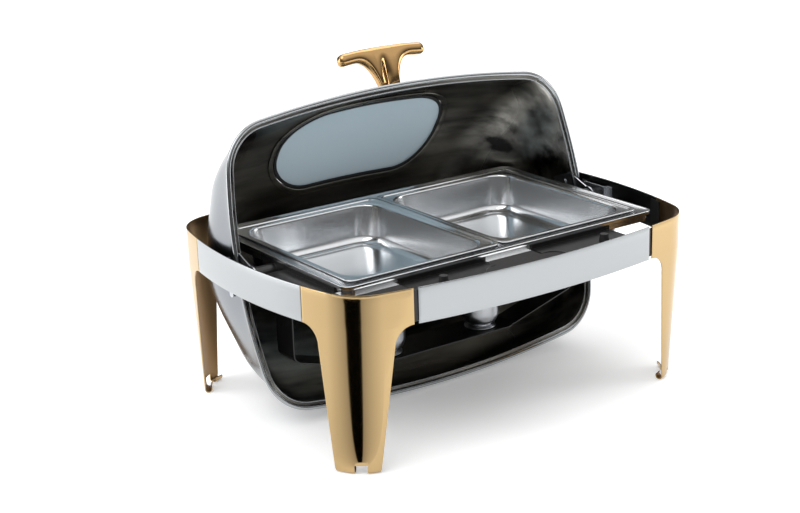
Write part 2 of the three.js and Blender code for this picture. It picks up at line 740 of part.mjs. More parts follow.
const gasket = domeShell(-1.5, glassThick + 0.5).intersect(windowBlock(-gap));
add("window_gasket", gasket.subtract(windowBlock(gap - gasketWide)), blackRubber, lid);
add("window_glass", domeShell(-0.2, glassThick - 0.2).intersect(windowBlock(-gasketWide)), tintedGlass, lid);
const bezelRing = (shell) => shell.intersect(windowBlock(bezelWide)).subtract(windowBlock(gap));
add("window_bezel_inner", bezelRing(domeShell(lidSheet + gap, lidSheet + 3)), mirrorSteel, lid);
add("window_bezel_outer", bezelRing(domeShell(-2.6, -gap)), mirrorSteel, lid);

// The rolled bead: an oval section carried round the rim.
const beadSides = 8;
const beadRings = outlineRing(rim, beadWide / 2 - 2, 6, 6);
const beadLoop = beadRings.map((p, i) => {
  const next = beadRings[(i + 1) % beadRings.length];
  const last = beadRings.at(i - 1);
  const along = next.clone().sub(last).normalize();
  return Array.from({ length: beadSides }, (_, k) => {
    const angle = (2 * Math.PI * (k + 0.5)) / beadSides;
    const out = (beadWide / 2) * Math.cos(angle);
    const up = (beadTall / 2) * Math.sin(angle);
    return new THREE.Vector3(p.x + along.y * out, p.y - along.x * out, rimZ - gap - beadTall / 2 + up);
  });
});
add("lid_rim", loft(beadLoop, true), mirrorSteel, lid);

// ---- handle ----
const lidReach = Math.hypot(halfMouth, rimRise);
const barHalf = handleWide / 2;
const barLow = handleRise - handleBar / 2;
const barTop = handleRise + handleBar / 2;
const handleShape = new THREE.Shape();
handleShape.moveTo(-stemWide / 2, -8);
handleShape.lineTo(stemWide / 2, -8);
handleShape.quadraticCurveTo(stemWide / 2 - 8, barLow * 0.75, barHalf * 0.72, barLow + 2);
handleShape.lineTo(barHalf - handleBar / 2, barLow);
handleShape.absarc(barHalf - handleBar / 2, handleRise, handleBar / 2, -Math.PI / 2, Math.PI / 2, false);
handleShape.lineTo(-(barHalf - handleBar / 2), barTop);
handleShape.absarc(-(barHalf - handleBar / 2), handleRise, handleBar / 2, Math.PI / 2, 1.5 * Math.PI, false);
handleShape.lineTo(-barHalf * 0.72, barLow + 2);
handleShape.quadraticCurveTo(-(stemWide / 2 - 8), barLow * 0.75, -stemWide / 2, -8);
const handleBevel = 4;
const handleBlock = new THREE.ExtrudeGeometry(handleShape, {
  depth: handleThick - 2 * handleBevel,
  bevelThickness: handleBevel,
  bevelSize: handleBevel,
  bevelOffset: -handleBevel,
  bevelSegments: 2,
  curveSegments: 7,
});
handleBlock.translate(0, lidReach, handleBevel - handleThick / 2);
// Local Y is the way out of the lid and local Z lies along its curve.
handleBlock.rotateX(THREE.MathUtils.degToRad(90 + handleAngle));
handleBlock.translate(0, 0, pivotZ);
const lidBody = domeShell(-gap, 60, 13);
add("handle", toSolid(handleBlock).subtract(lidBody), gold, lid);

const screwApart = 9;
for (const [side, sx] of sides) {
  const screw = new THREE.CylinderGeometry(4.5, 3, 3, 14);
  screw.translate(sx * screwApart, lidReach - lidSheet - gap - 1.8, 0);
  screw.rotateX(THREE.MathUtils.degToRad(90 + handleAngle));
  screw.translate(0, 0, pivotZ);
  add(`handle_screw_${side}`, screw, satinSteel, lid);
}

lid.position.set(0, pivotY, pivotZ);
lid.rotation.x = THREE.MathUtils.degToRad(-openAngle);
for (const piece of lid.children) piece.position.set(0, -pivotY, -pivotZ);
model.add(lid);

// ---- burner shelf, its straps and the fuel holders ----
const shelfShape = new THREE.Shape();
const shelfRound = 16;
shelfShape.absarc(shelfLong - shelfRound, shelfFront + shelfRound, shelfRound, -Math.PI / 2, 0, false);
shelfShape.absarc(shelfLong - shelfRound, shelfRear - shelfRound, shelfRound, 0, Math.PI / 2, false);
shelfShape.absarc(shelfRound - shelfLong, shelfRear - shelfRound, shelfRound, Math.PI / 2, Math.PI, false);
shelfShape.absarc(shelfRound - shelfLong, shelfFront + shelfRound, shelfRound, Math.PI, 1.5 * Math.PI, false);
for (const [, sx] of sides) {
  const hole = new THREE.Path();
  hole.absarc(sx * burnerX, burnerY, footRadius + gap, 0, 2 * Math.PI, true);
  shelfShape.holes.push(hole);
}
add("burner_shelf", toSolid(plate(shelfShape, shelfSheet, 16)).translate([0, 0, shelfTop - shelfSheet]), darkSteel);

// A strap seen from the front: down beside the pan, then in and under the end of the shelf.
const strapTop = hangFoot + 14;
const strapSheet = 2;
const underShelf = shelfTop - shelfSheet - gap;
const strapY = (shelfFront + shelfRear) / 2;
const strapHigh = skirtLong - sheet - gap;
const strap = new THREE.Shape();
strap.moveTo(strapHigh, strapTop);
strap.lineTo(strapHigh - strapSheet, strapTop);
strap.lineTo(strapHigh - strapSheet, hangFoot - 2);
strap.lineTo(strapX - strapSheet, hangFoot - 12);
strap.lineTo(strapX - strapSheet, strapBend + 2);
strap.quadraticCurveTo(strapX - strapSheet, strapBend - 8, strapX - 12, strapBend - 12);
strap.lineTo(shelfLong + 6, underShelf);
strap.lineTo(shelfLong - 24, underShelf);
strap.lineTo(shelfLong - 24, underShelf - strapSheet);
strap.lineTo(shelfLong + 6.5, underShelf - strapSheet);
strap.lineTo(strapX - 11.5, strapBend - 12 - strapSheet);
strap.quadraticCurveTo(strapX, strapBend - 9, strapX, strapBend + 2);
strap.lineTo(strapX, hangFoot - 12);
strap.lineTo(strapHigh, hangFoot - 2);
strap.closePath();
const strapPlate = plate(strap, strapWide, 5);
strapPlate.rotateX(Math.PI / 2);
strapPlate.translate(0, strapY + strapWide / 2, 0);
const strapSolid = toSolid(strapPlate);

const cupFoot = shelfTop - shelfSheet;
const cupTop = cupFoot + 6 + cupTall;
const cupProfile = [
  [0, cupFoot],
  [footRadius, cupFoot],
  [footRadius, cupFoot + 2.6],
  [footRadius + 3, cupFoot + 2.6],
  [footRadius + 3, cupFoot + 5],
  [cupRadius - 12, cupFoot + 8],
  [cupRadius - 3.5, cupFoot + 14],
  [cupRadius, cupFoot + 24],
  [cupRadius, cupTop],
  [cupRadius - cupSheet, cupTop],
  [cupRadius - cupSheet, cupFoot + 24],
  [cupRadius - 5, cupFoot + 15.5],
  [cupRadius - 13, cupFoot + 10],
  [0, cupFoot + 10],
];
const cupLathe = new THREE.LatheGeometry(
  cupProfile.map(([r, z]) => new THREE.Vector2(r, z)),
  32,
);
cupLathe.rotateX(Math.PI / 2);
for (const [side, sx] of sides) {
  add(`shelf_strap_${side}`, strapSolid.scale([sx, 1, 1]), darkSteel);
  add(`fuel_holder_${side}`, cupLathe, satinSteel).position.set(sx * burnerX, burnerY, 0);
}

export default model;
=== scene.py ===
import json
import math

import bpy
from mathutils import Matrix, Vector


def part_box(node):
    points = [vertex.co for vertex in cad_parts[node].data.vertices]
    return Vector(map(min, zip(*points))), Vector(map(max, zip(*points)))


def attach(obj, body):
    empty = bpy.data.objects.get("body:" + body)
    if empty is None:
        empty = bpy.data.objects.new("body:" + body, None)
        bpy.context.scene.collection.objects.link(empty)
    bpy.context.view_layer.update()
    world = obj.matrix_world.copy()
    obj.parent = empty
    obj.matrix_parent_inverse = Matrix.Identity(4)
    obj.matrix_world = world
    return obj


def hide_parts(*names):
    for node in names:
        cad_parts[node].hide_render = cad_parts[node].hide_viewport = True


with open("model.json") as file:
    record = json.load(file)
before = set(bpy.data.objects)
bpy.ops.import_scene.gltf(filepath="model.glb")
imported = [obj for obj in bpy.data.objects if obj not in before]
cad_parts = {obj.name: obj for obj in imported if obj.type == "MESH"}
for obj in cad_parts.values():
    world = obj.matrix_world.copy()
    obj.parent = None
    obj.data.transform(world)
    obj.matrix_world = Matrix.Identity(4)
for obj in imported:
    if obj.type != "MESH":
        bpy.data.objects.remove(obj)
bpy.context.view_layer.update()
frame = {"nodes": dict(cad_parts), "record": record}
bodies = frame["record"]["behaviour"]["bodies"]
joints = {joint["name"]: joint for joint in frame["record"]["behaviour"]["joints"]}
mm = 0.001
print("frame loaded")


def deselectAll():
    if bpy.context.object and bpy.context.object.mode != "OBJECT":
        bpy.ops.object.mode_set(mode="OBJECT")
    bpy.ops.object.select_all(action="DESELECT")


def pick(piece):
    deselectAll()
    piece.select_set(True)
    bpy.context.view_layer.objects.active = piece


def blank(name, columns, rows, place, joinSeam=False):
    # a flat grid whose corners go where place(u, v) says, in millimetres; u and v run from 0 to 1
    deselectAll()
    bpy.ops.mesh.primitive_grid_add(x_subdivisions=columns, y_subdivisions=rows, size=2)
    piece = bpy.context.object
    piece.name = name
    piece.data.name = name
    for corner in piece.data.vertices:
        corner.co = Vector(place((corner.co.x + 1) / 2, (corner.co.y + 1) / 2)) * mm
    if joinSeam:
        tidyMesh(piece)
    return piece


def tidyMesh(piece):
    pick(piece)
    bpy.ops.object.mode_set(mode="EDIT")
    bpy.ops.mesh.select_all(action="SELECT")
    bpy.ops.mesh.remove_doubles(threshold=0.002 * mm)
    bpy.ops.mesh.normals_make_consistent(inside=False)
    bpy.ops.object.mode_set(mode="OBJECT")


def selectFaces(piece, wanted):
    # ends in edit mode with only the faces whose middle is wanted
    pick(piece)
    bpy.ops.object.mode_set(mode="EDIT")
    bpy.ops.mesh.select_mode(type="FACE")
    bpy.ops.mesh.select_all(action="DESELECT")
    bpy.ops.object.mode_set(mode="OBJECT")
    for face in piece.data.polygons:
        face.select = wanted(face.center)
    bpy.ops.object.mode_set(mode="EDIT")


def addModifier(piece, kind, **settings):
    modifier = piece.modifiers.new(kind.title(), kind)
    for key, value in settings.items():
        setattr(modifier, key, value)
    return modifier


def applyAll(piece):
    pick(piece)
    for modifier in list(piece.modifiers):
        bpy.ops.object.modifier_apply(modifier=modifier.name)


def smooth(piece, angle=35):
    pick(piece)
    bpy.ops.object.shade_smooth_by_angle(angle=math.radians(angle))


def paint(piece, *materials):
    piece.data.materials.clear()
    for material in materials:
        piece.data.materials.append(material)


def copyPiece(piece, name, matrix):
    twin = piece.copy()
    twin.data = piece.data.copy()
    twin.name = name
    twin.data.name = name
    bpy.context.scene.collection.objects.link(twin)
    twin.data.transform(matrix)
    if matrix.determinant() < 0:
        twin.data.flip_normals()
    return twin


def mirrored(sx, sy):
    return Matrix.Diagonal((sx, sy, 1, 1))


def fillet(points, radius, steps=4):
    # rounds the inner corners of an open profile
    rounded = [Vector(points[0])]
    for before, corner, after in zip(points, points[1:], points[2:]):
        corner = Vector(corner)
        back = Vector(before) - corner
        ahead = Vector(after) - corner
        reach = min(radius, back.length * 0.45, ahead.length * 0.45)
        start = corner + back.normalized() * reach
        end = corner + ahead.normalized() * reach
        for i in range(steps + 1):
            t = i / steps
            rounded.append(start * (1 - t) ** 2 + corner * 2 * t * (1 - t) + end * t**2)
    rounded.append(Vector(points[-1]))
    return rounded


def alongProfile(points, v):
    # the point of a profile at share v, corner by corner
    index = round(v * (len(points) - 1))
    return points[index]


# colours are written as sRGB hex values
def linear(hexColor):
    parts = [int(hexColor[i : i + 2], 16) / 255 for i in (1, 3, 5)]
    return [p / 12.92 if p <= 0.04045 else ((p + 0.055) / 1.055) ** 2.4 for p in parts] + [1]


def addNode(tree, kind, settings=None, links=None):
    node = tree.nodes.new(kind)
    for key, value in (settings or {}).items():
        if key in node.inputs:
            node.inputs[key].default_value = value
        else:
            setattr(node, key, value)
    for key, source in (links or {}).items():
        tree.links.new(source, node.inputs[key])
    return node


def newMaterial(name, **settings):
    material = bpy.data.materials.new(name)
    material.use_nodes = True
    shader = material.node_tree.nodes["Principled BSDF"]
    for key, value in settings.items():
        shader.inputs[key].default_value = value
    return material, material.node_tree, shader


def metalFinish(name, hexColor, roughness, hazeSpread, grainMm=0.0, grainDepth=0.0, stretch=(1, 1, 1)):
    # rolled sheet is never even: slow changes of roughness, and a fine grain where it was brushed
    hazeMm = 200
    material, tree, shader = newMaterial(name, Metallic=1)
    shader.inputs["Base Color"].default_value = linear(hexColor)
    place = addNode(tree, "ShaderNodeTexCoord").outputs["Object"]
    haze = addNode(tree, "ShaderNodeTexNoise", {"Scale": 1000 / hazeMm, "Detail": 0.0}, {"Vector": place})
    spread = addNode(
        tree,
        "ShaderNodeMapRange",
        {
            "From Min": 0.2,
            "From Max": 0.8,
            "To Min": roughness - hazeSpread,
            "To Max": roughness + hazeSpread,
        },
        {"Value": haze.outputs["Fac"]},
    )
    tree.links.new(spread.outputs["Result"], shader.inputs["Roughness"])
    if grainMm:
        turned = addNode(tree, "ShaderNodeMapping", {"Scale": stretch}, {"Vector": place})
        grain = addNode(
            tree,
            "ShaderNodeTexNoise",
            {"Scale": 1000 / grainMm, "Detail": 2.0},
            {"Vector": turned.outputs["Vector"]},
        )
        bump = addNode(
            tree,
            "ShaderNodeBump",
            {"Strength": grainDepth, "Distance": 0.2 * mm},
            {"Height": grain.outputs["Fac"]},
        )
        tree.links.new(bump.outputs["Normal"], shader.inputs["Normal"])
    return material


def mottle(material, sizeMm, detail, dark, light, stops=(0, 1), stretch=(1, 1, 1)):
    # slow or fine patches between two colours, about sizeMm across before they are stretched
    tree = material.node_tree
    place = addNode(tree, "ShaderNodeTexCoord").outputs["Object"]
    turned = addNode(tree, "ShaderNodeMapping", {"Scale": stretch}, {"Vector": place})
    patches = addNode(
        tree,
        "ShaderNodeTexNoise",
        {"Scale": 1000 / sizeMm, "Detail": detail},
        {"Vector": turned.outputs["Vector"]},
    )
    tone = addNode(tree, "ShaderNodeValToRGB", links={"Fac": patches.outputs["Fac"]})
    for element, stop, hexColor in zip(tone.color_ramp.elements, stops, (dark, light)):
        element.position = stop
        element.color = linear(hexColor)
    tree.links.new(tone.outputs["Color"], tree.nodes["Principled BSDF"].inputs["Base Color"])


# titanium-nitride gold on polished stainless sheet: warm pale gold, mirror-like enough for a hard stripe
goldSheet = metalFinish("titaniumGoldOnPolishedSteel", "#bea377", 0.1, 0.015)
# the same coating on the cast handle: a little more orange, and slightly softer from the casting
goldCasting = metalFinish("titaniumGoldOnPolishedCasting", "#c09a68", 0.13, 0.03)
# the back of the coated sheet: dull as rolled, and its bronze brown darkened as painted shade for the shaded
# inside of the legs
goldBackWithPaintedShade = metalFinish("asRolledBackOfGoldSheetWithPaintedShade", "#8d6f4b", 0.36, 0.05)
# mirror-polished stainless steel: the rails, the rim and the outer window trim, bright with a soft blur
polishedSteel = metalFinish("mirrorPolishedStainlessSteel", "#a9acae", 0.15, 0.03)
# the back of the rails and the water pan: dull as rolled, and painted dark as painted shade for the shaded
# space inside the frame
steelBackWithPaintedShade = metalFinish("asRolledBackOfSteelSheetWithPaintedShade", "#3b3a3a", 0.32, 0.05)
# outside of the lid: polished but slightly hazy, cool grey
lidSkinSteel = metalFinish("hazyPolishedStainlessSteel", "#7f8388", 0.22, 0.04)
# inside of the lid: drawn and brushed across; its colour is painted nearly black as painted shade, with lighter
# streaks as painted reflection
lidInsideSteelWithPaintedShade = metalFinish(
    "brushedDrawnStainlessWithPaintedShade",
    "#8b8a86",
    0.3,
    0.07,
    grainMm=1.2,  # real brushing is finer; this is as fine as shows
    grainDepth=0.25,
    stretch=(0.06, 1, 1),
)
# the mottle paints near-black patches as painted shade and light grey patches as painted reflection
mottle(lidInsideSteelWithPaintedShade, 111.11, 5.0, "#242423", "#aaa79f", stops=(0.36, 0.66), stretch=(0.35, 2.2, 2.2))
# soft-polished stainless steel pans: bright grey, with highlights along every edge
panSteel = metalFinish("softPolishedStainlessPan", "#e6e8ea", 0.2, 0.03)
# the band round the water pan: softly polished, bright where light falls in from above
bandSteel = metalFinish("softPolishedStainlessBand", "#d6d8da", 0.24, 0.04)
# satin stainless steel: outer brackets, pins, arms, rivets, screws and the fuel cups
satinSteel = metalFinish("satinStainlessSteel", "#b9bcc0", 0.3, 0.05)
# black baked lacquer on mild steel: shelf, straps, inner brackets, ledges and joint strips
blackLacquer, tree, shader = newMaterial("blackBakedLacquerOnSteel", Roughness=0.32)
mottle(blackLacquer, 2.5, 2.0, "#0d0d0e", "#1c1b1b")
# moulded EPDM rubber: soft black with a faint bloom
blackRubber, tree, shader = newMaterial("mouldedBlackRubber", Roughness=0.62)
mottle(blackRubber, 8.333, 3.0, "#101010", "#232323")
# tempered float glass, grey-blue: a mostly opaque pane whose pale colour is painted light, standing in for the
# white backdrop seen through the glass
windowGlass, tree, shader = newMaterial("temperedGreyBlueGlass", Roughness=0.04, IOR=1.5, Alpha=0.8)
mottle(windowGlass, 333.3, 1.0, "#c9dfea", "#d0e5ef")
print("finishes made")


# a bowed outline is four arcs with round corners; the quarter x > 0, y < 0 is worked out
def bowedOutline(long, deep, bowLong, bowSide, corner):
    frontRadius = (long**2 + bowLong**2) / (2 * bowLong)
    sideRadius = (deep**2 + bowSide**2) / (2 * bowSide)
    front = Vector((0, frontRadius - deep - bowLong))
    side = Vector((long + bowSide - sideRadius, 0))
    apart = (side - front).length
    toFront = frontRadius - corner
    along = (toFront**2 - (sideRadius - corner) ** 2 + apart**2) / (2 * apart)
    way = (side - front).normalized()
    bend = front + way * along + Vector((-way.y, way.x)) * math.sqrt(toFront**2 - along**2)
    bendStart = math.atan2(bend.y - front.y, bend.x - front.x)
    bendEnd = math.atan2(bend.y - side.y, bend.x - side.x)
    return {
        "front": (front, frontRadius),
        "side": (side, sideRadius),
        "bend": (bend, corner),
        "bendStart": bendStart,
        "bendEnd": bendEnd,
        "bendHalf": corner * (bendEnd - bendStart) / 2,
        "frontRun": frontRadius * (bendStart + math.pi / 2),
        "sideRun": sideRadius * -bendEnd,
    }


def outlinePoint(outline, s, inset=0):
    # s is the way from the middle of the bend: minus towards the front, plus towards the side
    half = outline["bendHalf"]
    centre, radius = outline["bend"]
    angle = (outline["bendStart"] + outline["bendEnd"]) / 2 + s / radius
    if s < -half:
        centre, radius = outline["front"]
        angle = outline["bendStart"] + (s + half) / radius
    elif s > half:
        centre, radius = outline["side"]
        angle = outline["bendEnd"] + (s - half) / radius
    reach = radius - inset
    return Vector((centre.x + reach * math.cos(angle), centre.y + reach * math.sin(angle)))


def outlineLoop(outline, share, inset=0):
    # once round for share 0 to 1, anticlockwise from the middle of the front
    quarter = (share % 1) * 4
    index = int(quarter)
    part = quarter - index
    run = outline["frontRun"] + 2 * outline["bendHalf"] + outline["sideRun"]
    if index % 2:
        part = 1 - part
    p = outlinePoint(outline, part * run - outline["frontRun"] - outline["bendHalf"], inset)
    return Vector((p.x if index < 2 else -p.x, p.y if index in (0, 3) else -p.y))


def outlineReach(outline, angle):
    # distance from the middle to the outline at an angle
    way = Vector((abs(math.cos(angle)), -abs(math.sin(angle))))
    half = outline["bendHalf"]
    slope = -way.y / max(way.x, 1e-9)
    first = outlinePoint(outline, -half)
    last = outlinePoint(outline, half)
    centre, radius = outline["bend"]
    if slope > -first.y / first.x:
        centre, radius = outline["front"]
    elif slope < -last.y / last.x:
        centre, radius = outline["side"]
    toward = way.dot(centre)
    return toward + math.sqrt(toward**2 - centre.length_squared + radius**2)


# legs: gold sheet bent round the corner, with a rolled foot under each wing
rail = {side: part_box("rail_" + side) for side in ("front", "right")}
frameTop = rail["front"][1].z / mm
railFoot = rail["front"][0].z / mm
legs = {
    "sheet": 1.5,
    "wingTop": 86,
    "wingFillet": 29,
    "wingFoot": 33,
    "leanX": 5.4,
    "leanY": 12.4,
    "rollRadius": 6,
    "rollTurn": 205,
    "notchHalf": 9,
    "notchTop": 15,
    "columns": 48,
    "wingRows": 4,
    "filletRows": 12,
    "taperRows": 24,
    "rollRows": 18,
}
frameOutline = bowedOutline(long=304, deep=230, bowLong=35, bowSide=35, corner=70)


def wingWidth(z):
    filletEnd = railFoot - legs["wingFillet"]
    neck = legs["wingTop"] - legs["wingFillet"]
    if z >= railFoot:
        return legs["wingTop"]
    if z >= filletEnd:
        return legs["wingTop"] - math.sqrt(max(legs["wingFillet"] ** 2 - (z - filletEnd) ** 2, 0))
    return legs["wingFoot"] + (neck - legs["wingFoot"]) * max(z, 0) / filletEnd


def legRows():
    # heights down the leg, then turns round the rolled foot
    radius = legs["rollRadius"]
    filletEnd = railFoot - legs["wingFillet"]
    wing, bend, taper, roll = (legs[part + "Rows"] for part in ("wing", "fillet", "taper", "roll"))
    rows = [(frameTop - i * (frameTop - railFoot) / wing, 0) for i in range(wing)]
    for i in range(bend + 1):
        rows.append((filletEnd + legs["wingFillet"] * math.cos(math.radians(i * 90 / bend)), 0))
    rows += [(filletEnd + (radius - filletEnd) * i / taper, 0) for i in range(1, taper + 1)]
    rows += [(radius, math.radians(legs["rollTurn"] * i / roll)) for i in range(1, roll + 1)]
    return rows


def legPlace(u, v):
    z, roll = alongProfile(legPath, v)
    radius = legs["rollRadius"]
    s = (2 * u - 1) * wingWidth(z if not roll else 0)
    lean = max(0, 1 - z / railFoot)
    p = outlinePoint(frameOutline, s, radius * (1 - math.cos(roll)))
    return (p.x - legs["leanX"] * lean, p.y + legs["leanY"] * lean, z - radius * math.sin(roll))


legPath = legRows()
leg = blank("leg", legs["columns"], len(legPath) - 1, legPlace)
notchPlace = outlinePoint(frameOutline, 0)


def inNotch(middle):
    across = (Vector((middle.x, middle.y)) / mm - notchPlace).dot(Vector((1, 1)).normalized())
    return middle.z / mm < legs["notchTop"] and abs(across) < legs["notchHalf"]


selectFaces(leg, inNotch)
bpy.ops.mesh.delete(type="FACE")
bpy.ops.mesh.select_all(action="SELECT")
bpy.ops.mesh.normals_make_consistent(inside=False)
bpy.ops.object.mode_set(mode="OBJECT")


def faceOut(piece, sample, outward):
    # turns the whole sheet over if its face nearest to sample looks away from outward
    nearest = min(piece.data.polygons, key=lambda face: (face.center - sample).length)
    if nearest.normal.dot(outward) < 0:
        piece.data.flip_normals()


def giveSheet(piece, thick, edge=0.35, materialStep=0):
    addModifier(
        piece,
        "SOLIDIFY",
        thickness=thick * mm,
        offset=-1,
        use_even_offset=True,
        material_offset=materialStep,
        material_offset_rim=0,
    )
    addModifier(piece, "BEVEL", width=edge * mm, segments=2, limit_method="ANGLE", angle_limit=math.radians(50))
    applyAll(piece)


faceOut(leg, Vector((notchPlace.x, notchPlace.y, 150)) * mm, Vector((1, -1, 0)))
paint(leg, goldSheet, goldBackWithPaintedShade)
giveSheet(leg, legs["sheet"], materialStep=1)
smooth(leg)
for end, sy in (("front", 1), ("rear", -1)):
    for side, sx in (("right", 1), ("left", -1)):
        name = f"leg_{end}_{side}"
        piece = copyPiece(leg, "goldLeg_" + name, mirrored(sx, sy))
        smooth(piece)
        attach(piece, "frame")
        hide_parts(name)
bpy.data.objects.remove(leg)
print("legs made")

# rails: bowed bands between the legs
rails = {"sheet": 1.5, "jointLong": 7, "jointSide": 1, "columns": 96, "rows": 4}


def longRailPlace(u, v):
    end = legs["wingTop"] + rails["jointLong"]
    centre, radius = frameOutline["front"]
    angle = frameOutline["bendStart"] + (frameOutline["bendHalf"] - end) / radius
    turn = -math.pi / 2 + (angle + math.pi / 2) * (2 * u - 1)
    return (
        centre.x + radius * math.cos(turn),
        centre.y + radius * math.sin(turn),
        railFoot + (frameTop - railFoot) * v,
    )


def sideRailPlace(u, v):
    end = legs["wingTop"] + rails["jointSide"]
    centre, radius = frameOutline["side"]
    angle = frameOutline["bendEnd"] + (end - frameOutline["bendHalf"]) / radius
    turn = angle * (2 * u - 1)
    return (
        centre.x + radius * math.cos(turn),
        centre.y + radius * math.sin(turn),
        railFoot + (frameTop - railFoot) * v,
    )


def makeRail(name, place, outward, matrix, node):
    piece = blank(name, rails["columns"], rails["rows"], place)
    sample = Vector(place(0.5, 0.5)) * mm
    faceOut(piece, sample, Vector(outward))
    paint(piece, polishedSteel, steelBackWithPaintedShade)
    giveSheet(piece, rails["sheet"], materialStep=1)
    piece.data.transform(matrix)
    if matrix.determinant() < 0:
        piece.data.flip_normals()
    smooth(piece)
    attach(piece, "frame")
    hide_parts(node)


makeRail("frontRail", longRailPlace, (0, -1, 0), mirrored(1, 1), "rail_front")
makeRail("rearRail", longRailPlace, (0, -1, 0), mirrored(1, -1), "rail_rear")
makeRail("rightRail", sideRailPlace, (1, 0, 0), mirrored(1, 1), "rail_right")
makeRail("leftRail", sideRailPlace, (1, 0, 0), mirrored(-1, 1), "rail_left")
print("rails made")


# pans: drawn bodies with a stepped flange
def oblongPoint(long, deep, corner, share):
    # once round a round-cornered oblong, from the middle of the right side, anticlockwise
    straightX = 2 * (long - corner)
    straightY = 2 * (deep - corner)
    bend = corner * math.pi / 2
    way = (share % 1) * (2 * straightX + 2 * straightY + 4 * bend)
    way += straightY / 2
    sides = ((1, 1, straightY, 0), (-1, 1, straightX, 90), (-1, -1, straightY, 180), (1, -1, straightX, 270))
    way %= 2 * straightX + 2 * straightY + 4 * bend
    for sx, sy, straight, turn in sides:
        angle = math.radians(turn)
        ahead = Vector((-math.sin(angle), math.cos(angle)))
        out = Vector((math.cos(angle), math.sin(angle)))
        centre = Vector((sx * (long - corner), sy * (deep - corner)))
        if way <= straight:
            return centre + out * corner + ahead * (way - straight)
        way -= straight
        if way <= bend:
            angle += way / corner
            return centre + Vector((math.cos(angle), math.sin(angle))) * corner
        way -= bend
    return Vector((long, -(deep - corner)))


def oblongShares(long, deep, corner, part, quarter):
    # each quarter keeps the same share of its points on the straights and on the bend, ring after ring
    straightShare = 0.25
    sx, sy = ((1, 1), (-1, 1), (-1, -1), (1, -1))[quarter % 4]
    if quarter % 2:
        part = 1 - part
    if part < straightShare:
        p = Vector((long, (deep - corner) * part / straightShare))
    elif part <= 1 - straightShare:
        angle = math.pi / 2 * (part - straightShare) / (1 - 2 * straightShare)
        p = Vector((long - corner + corner * math.cos(angle), deep - corner + corner * math.sin(angle)))
    else:
        p = Vector(((long - corner) * (1 - part) / straightShare, deep))
    return Vector((p.x * sx, p.y * sy))


def panSections(pan, top):
    # rings from the turned-down edge over the flange and down to the floor: long, deep, corner, z
    long, deep, corner = pan["flange"]
    stepEnd = pan["stepIn"] + pan["stepRun"]
    edge = [(0, -pan["lip"], 0), (0, 0, 0), (-pan["stepIn"], 0, 0), (-stepEnd, -pan["step"], 0)]
    sections = [
        (long + p.x, deep + p.x, corner + p.x * 0.5, top + p.y) for p in fillet(edge, pan["edgeRound"], 3)
    ]
    long, deep, corner = pan["mouth"]
    for i in range(pan["mouthRings"] + 1):
        angle = math.radians(90 * i / pan["mouthRings"])
        grow = pan["mouthRound"] * (1 - math.sin(angle))
        z = top - pan["step"] - pan["mouthRound"] * (1 - math.cos(angle))
        sections.append((long + grow, deep + grow, corner + grow, z))
    long, deep, corner = pan["floor"]
    floorZ = top - pan["drop"]
    for i in range(pan["floorRings"] + 1):
        angle = math.radians(90 * i / pan["floorRings"])
        shrink = pan["floorRound"] * (1 - math.cos(angle))
        z = floorZ + pan["floorRound"] * (1 - math.sin(angle))
        sections.append((long - shrink, deep - shrink, max(corner - shrink, pan["leastCorner"]), z))
    return sections + [(long * 0.5, deep * 0.5, pan["leastCorner"], floorZ), (0, 0, 0, floorZ)]


def makePan(name, node, body, pan, *materials):
    low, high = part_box(node)
    middleX = (low.x + high.x) / 2 / mm
    top = high.z / mm
    sections = panSections(pan, top)

    def place(u, v):
        long, deep, corner, z = alongProfile(sections, v)
        if long <= 0:
            return (middleX, pan["middleY"], z)
        quarter = math.floor(u * 4 + 1e-9)
        p = oblongShares(long, deep, corner, u * 4 - quarter, quarter)
        return (middleX + p.x, pan["middleY"] + p.y, z)

    piece = blank(name, pan["columns"], len(sections) - 1, place, joinSeam=True)
    faceOut(piece, Vector((middleX, pan["middleY"], top - pan["drop"])) * mm, Vector((0, 0, 1)))
    paint(piece, *materials)
    giveSheet(piece, pan["sheet"], 0.3, materialStep=len(materials) - 1)
    smooth(piece)
    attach(piece, body)
    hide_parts(node)


pan = {
    "middleY": -4,
    "sheet": 1.2,
    "edgeRound": 0.7,
    "stepRun": 1.2,
    "mouthRound": 5,
    "floorRound": 16,
    "leastCorner": 4,
    "mouthRings": 6,
    "floorRings": 8,
    "columns": 96,
}
waterPan = dict(
    pan,
    flange=(281, 178.5, 14),
    mouth=(254, 151, 34),
    floor=(240, 137, 34),
    drop=97,
    lip=5,
    step=0.6,
    stepIn=3,
)
foodPan = dict(
    pan,
    flange=(131.8, 162.5, 14),
    mouth=(117, 147, 34),
    floor=(108, 138, 36),
    drop=60.5,
    lip=1.2,
    step=1.8,
    stepIn=6,
)
makePan("waterPan", "water_pan", "frame", waterPan, panSteel, steelBackWithPaintedShade)
for side in ("left", "right"):
    node = "food_pan_" + side
    makePan("foodPan_" + side, node, node + "_body", foodPan, panSteel)
print("pans made")

# lid: a dome that rolls back about the side pivots
hinge = joints["lid_hinge"]
pivotY = hinge["pos_m"][1] / mm
pivotZ = hinge["pos_m"][2] / mm
openAngle = hinge["range_deg"][1]
lid = {
    "rimRise": 28,
    "sheet": 1.5,
    "endPower": 3.5,
    "cornerPull": 0.08,
    "columns": 192,
    "rows": 64,
    "halfMouth": 229,
    "halfLong": 323,
}
rimOutline = bowedOutline(long=299, deep=204, bowLong=25, bowSide=24, corner=77)
lidRadius = math.hypot(lid["halfMouth"], lid["rimRise"])
pivot = Vector((0, pivotY, pivotZ))
lidOpen = (
    Matrix.Translation(pivot * mm)
    @ Matrix.Rotation(math.radians(-openAngle), 4, "X")
    @ Matrix.Translation(-Vector((0, 0, pivotZ)) * mm)
)
# pieces of the lid are made closed, with their middle over x = y = 0, and then rolled open


